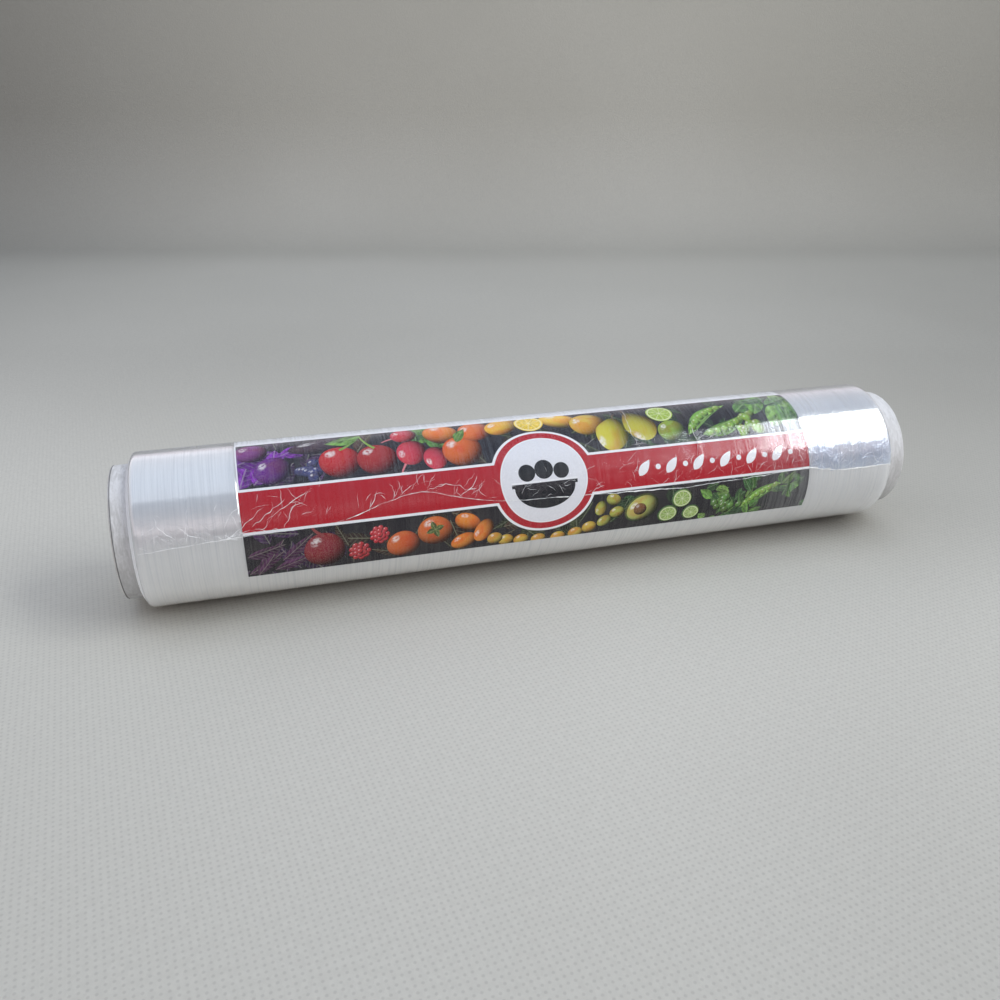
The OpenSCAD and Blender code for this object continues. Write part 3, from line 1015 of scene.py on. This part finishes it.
def label_design():
    rng = random.Random(7)
    design = Design()
    design.rect("white", PAPER, LEFT, 0, RIGHT, LABEL_H)
    lower_picture(design, rng)
    upper_picture(design, rng)
    # The white and red bands run past the label's ends, where the paper cuts them off.
    reach = 8
    for kind, tint, low, high, r in (("white", PAPER, LOWER_TOP, UPPER_LOW, RING_WHITE_R),
                                     ("red", RED, BAND_LOW, BAND_HIGH, RING_RED_R)):
        design.rect(kind, tint, LEFT - reach, low, RIGHT + reach, high)
        design.disc(kind, tint, r)
    design.disc("white", PAPER, DISC_RIM_R)
    design.disc("flat", (0.76, 0.765, 0.80), DISC_R)
    disc_sign(design)
    band_signs(design)
    design.rect("white", PAPER, LEFT - reach, UPPER_TOP, RIGHT + reach, LABEL_H)
    design.rect("white", PAPER, LEFT, UPPER_LOW - 0.5, LEFT + 0.5, LABEL_H)
    return design


def print_finish(n, colour):
    """Printed paper: satin, with the paper's faint tooth."""
    tooth = n.noise(n.place(), 2600.0, 3)
    shader = n.surface(Base_Color=colour, Roughness=0.45, Specular_IOR_Level=0.05,
                       Normal=n.bump(tooth, 0.01, 0.5))
    return n.done(shader)


def flat_print(name, speckle):
    """An even field of ink in the shape's own tint, with a faint speckle."""
    n = Nodes("print_" + name)
    tint = n.attribute("tint", "Color")
    grain = n.noise(n.place(), 1400.0, 3)
    return print_finish(n, n.patches(tint, (0.0, 0.0, 0.0), grain, 0.3, 0.7, speckle))


def ground_print():
    n = Nodes("print_ground")
    tint = n.attribute("tint", "Color")
    cloud = n.noise(n.place(), 90.0, 4)
    return print_finish(n, n.patches(tint, (0.05, 0.042, 0.04), cloud, 0.4, 0.75, 0.5))


def shape_nodes(name):
    """Nodes for a printed shape, with its tint, its own u and v, and its random number."""
    n = Nodes("print_" + name)
    return n, n.attribute("tint", "Color"), *n.split(n.attribute("own", "Vector"))


def own_noise(n, u, v, seed, scale, detail):
    """Noise that lies with the shape, and differs from one shape to the next."""
    where = n.add("ShaderNodeCombineXYZ", {0: u, 1: v, 2: n.times(seed, 40.0)})
    return n.noise(where, scale, detail)


def round_print():
    """Round fruit: shaded like a ball lit from the upper left, with a blush, pores and a glint."""
    n, tint, u, v, seed = shape_nodes("round")
    rr = n.math("ADD", n.times(u, u), n.times(v, v))
    up = n.math("SQRT", n.math("MAXIMUM", n.rest(rr), 0.0))
    facing = n.line(u, -0.42, n.line(v, 0.55, n.times(up, 0.72)))
    shade = n.between(facing, -0.35, 0.95, 0.06, 1.0)
    blush = n.between(own_noise(n, u, v, seed, 1.1, 2), 0.42, 0.62)
    warm = n.mix(1.0, tint, (1.0, 0.55, 0.45), "MULTIPLY")
    colour = n.mix(n.times(blush, 0.7), tint, warm)
    colour = n.patches(colour, (0.9, 0.75, 0.5), n.noise(n.place(), 2400.0, 2), 0.45, 0.7, 0.11)
    lit = n.scaled(colour, shade)
    glint = n.between(facing, 0.93, 0.995, 0.0, 0.75)
    streak = n.between(own_noise(n, u, v, seed, 6.0, 2), 0.3, 0.6)
    return print_finish(n, n.mix(n.times(glint, streak), lit, (0.85, 0.84, 0.82)))


def leaf_print():
    """A leaf: a pale midrib, side veins, and one half lighter than the other."""
    n, tint, u, v, seed = shape_nodes("leaf")
    side = n.math("ABSOLUTE", v)
    midrib = n.between(side, 0.02, 0.09, 1.0, 0.0)
    run = n.math("FRACT", n.line(side, -1.3, n.times(u, 4.0)))
    vein = n.between(n.apart(run, 0.5), 0.0, 0.13, 0.6, 0.0)
    patch = n.between(own_noise(n, u, v, seed, 2.2, 3), 0.3, 0.7, 0.3, 1.2)
    half = n.between(v, -0.3, 0.3, 0.7, 1.15)
    lit = n.scaled(tint, n.times(patch, half))
    pale = n.mix(0.5, tint, (0.55, 0.62, 0.40))
    return print_finish(n, n.mix(n.times(n.math("MAXIMUM", midrib, vein), 0.55), lit, pale))


def slice_print():
    """A cut fruit: rind, pale pith, and segments with thin walls."""
    n, tint, u, v, seed = shape_nodes("slice")
    r = n.math("SQRT", n.math("ADD", n.times(u, u), n.times(v, v)))
    turn = n.times(n.math("ARCTAN2", v, u), 9 / (2 * math.pi))
    wall = n.apart(n.math("FRACT", n.math("ADD", turn, seed)), 0.5)
    wall = n.between(n.times(wall, r), 0.0, 0.07, 0.8, 0.0)
    pulp = n.between(n.noise(n.place(), 1500.0, 3), 0.3, 0.7, 0.65, 1.15)
    lit = n.scaled(tint, pulp)
    pith = n.mix(0.65, tint, (0.85, 0.82, 0.65))
    heart = n.between(r, 0.04, 0.12, 1.0, 0.0)
    colour = n.mix(n.math("MAXIMUM", wall, heart), lit, pith)
    colour = n.patches(colour, pith, r, 0.80, 0.85)
    return print_finish(n, n.patches(colour, tint, r, 0.90, 0.94))


def label_materials():
    return [flat_print("white", 0.03), flat_print("red", 0.10), ground_print(), flat_print("flat", 0.06),
            round_print(), leaf_print(), slice_print()]


def make_label():
    """The printed sheet: the design cut into triangles, curved round the roll, with a white back."""
    shapes = label_design().shapes
    flat_points, outlines, edges = [], [], []
    for _, _, outline, *_ in shapes:
        outlines.append(list(range(len(flat_points), len(flat_points) + len(outline))))
        flat_points += [Vector(p) for p in outline]
    folds = int(LABEL_H / 1.5)
    for i in range(1, folds):
        s = LABEL_H * i / folds + 0.013
        edges.append((len(flat_points), len(flat_points) + 1))
        flat_points += [Vector((LEFT - 10, s)), Vector((RIGHT + 10, s))]
    cut = delaunay_2d_cdt(flat_points, edges, outlines, 0, 1e-5, True)
    points, triangles, owners = np.array(cut[0]), [], []
    for face, found in zip(cut[2], cut[5]):
        if 0 in found:
            triangles.append(face)
            owners.append(max(found))
    triangles = np.array(triangles)
    used, triangles = np.unique(triangles, return_inverse=True)
    triangles = triangles.reshape(-1, 3)
    points = points[used]
    count = len(points)
    angle = LABEL_LOW_A + np.degrees(points[:, 1] / LABEL_R)
    front = on_roll(points[:, 0], angle, LABEL_R)
    back = on_roll(points[:, 0], angle, LABEL_R - LABEL_T)
    sides = dict.fromkeys(edge for a, b, c in triangles for edge in ((a, b), (b, c), (c, a)))
    rim = [(a, a + count, b + count, b) for a, b in sides if (b, a) not in sides]
    faces = triangles.tolist() + (triangles[:, ::-1] + count).tolist() + rim
    piece = make_piece("label_sheet", np.concatenate([front, back]), faces, label_materials(),
                       ["label"])
    mesh = piece.data
    kinds = [shapes[i][0] for i in owners] + [0] * (len(triangles) + len(rim))
    mesh.polygons.foreach_set("material_index", kinds)
    corners = points[triangles]
    own = np.zeros((len(mesh.loops), 3))
    tints = np.tile([*PAPER, 1.0], (len(mesh.loops), 1))
    for row, i in enumerate(owners):
        _, tint, _, middle, half, tilt, seed = shapes[i]
        c, d = cos_sin(tilt)
        of_face = slice(row * 3, row * 3 + 3)
        own[of_face, :2] = (corners[row] - middle) @ ((c, -d), (d, c)) / half
        own[of_face, 2] = seed
        tints[of_face, :3] = tint
    mesh.attributes.new("own", "FLOAT_VECTOR", "CORNER").data.foreach_set("vector", own.ravel())
    mesh.attributes.new("tint", "FLOAT_COLOR", "CORNER").data.foreach_set("color", tints.ravel())
    outward = np.stack([0 * angle, -np.cos(np.radians(angle)), np.sin(np.radians(angle))], axis=-1)
    mesh.normals_split_custom_set_from_vertices(np.concatenate([outward, -outward]).tolist())


make_camera()
make_world()
make_stage()
make_lamp("window", (0.62, -0.36, 0.70), 1.3, (0, 0.88, 0.47), (0.38, 1.0), 8.4, (0.95, 0.99, 1.0))
make_lamp("ceiling", (-0.2, 0.36, 1.0), 1.6, (0, 1, 0), (3.2, 3.2), 16.5, (0.87, 0.92, 1.0))
make_core()
make_wound_film()
make_label()
make_loose_turn()
make_creases()
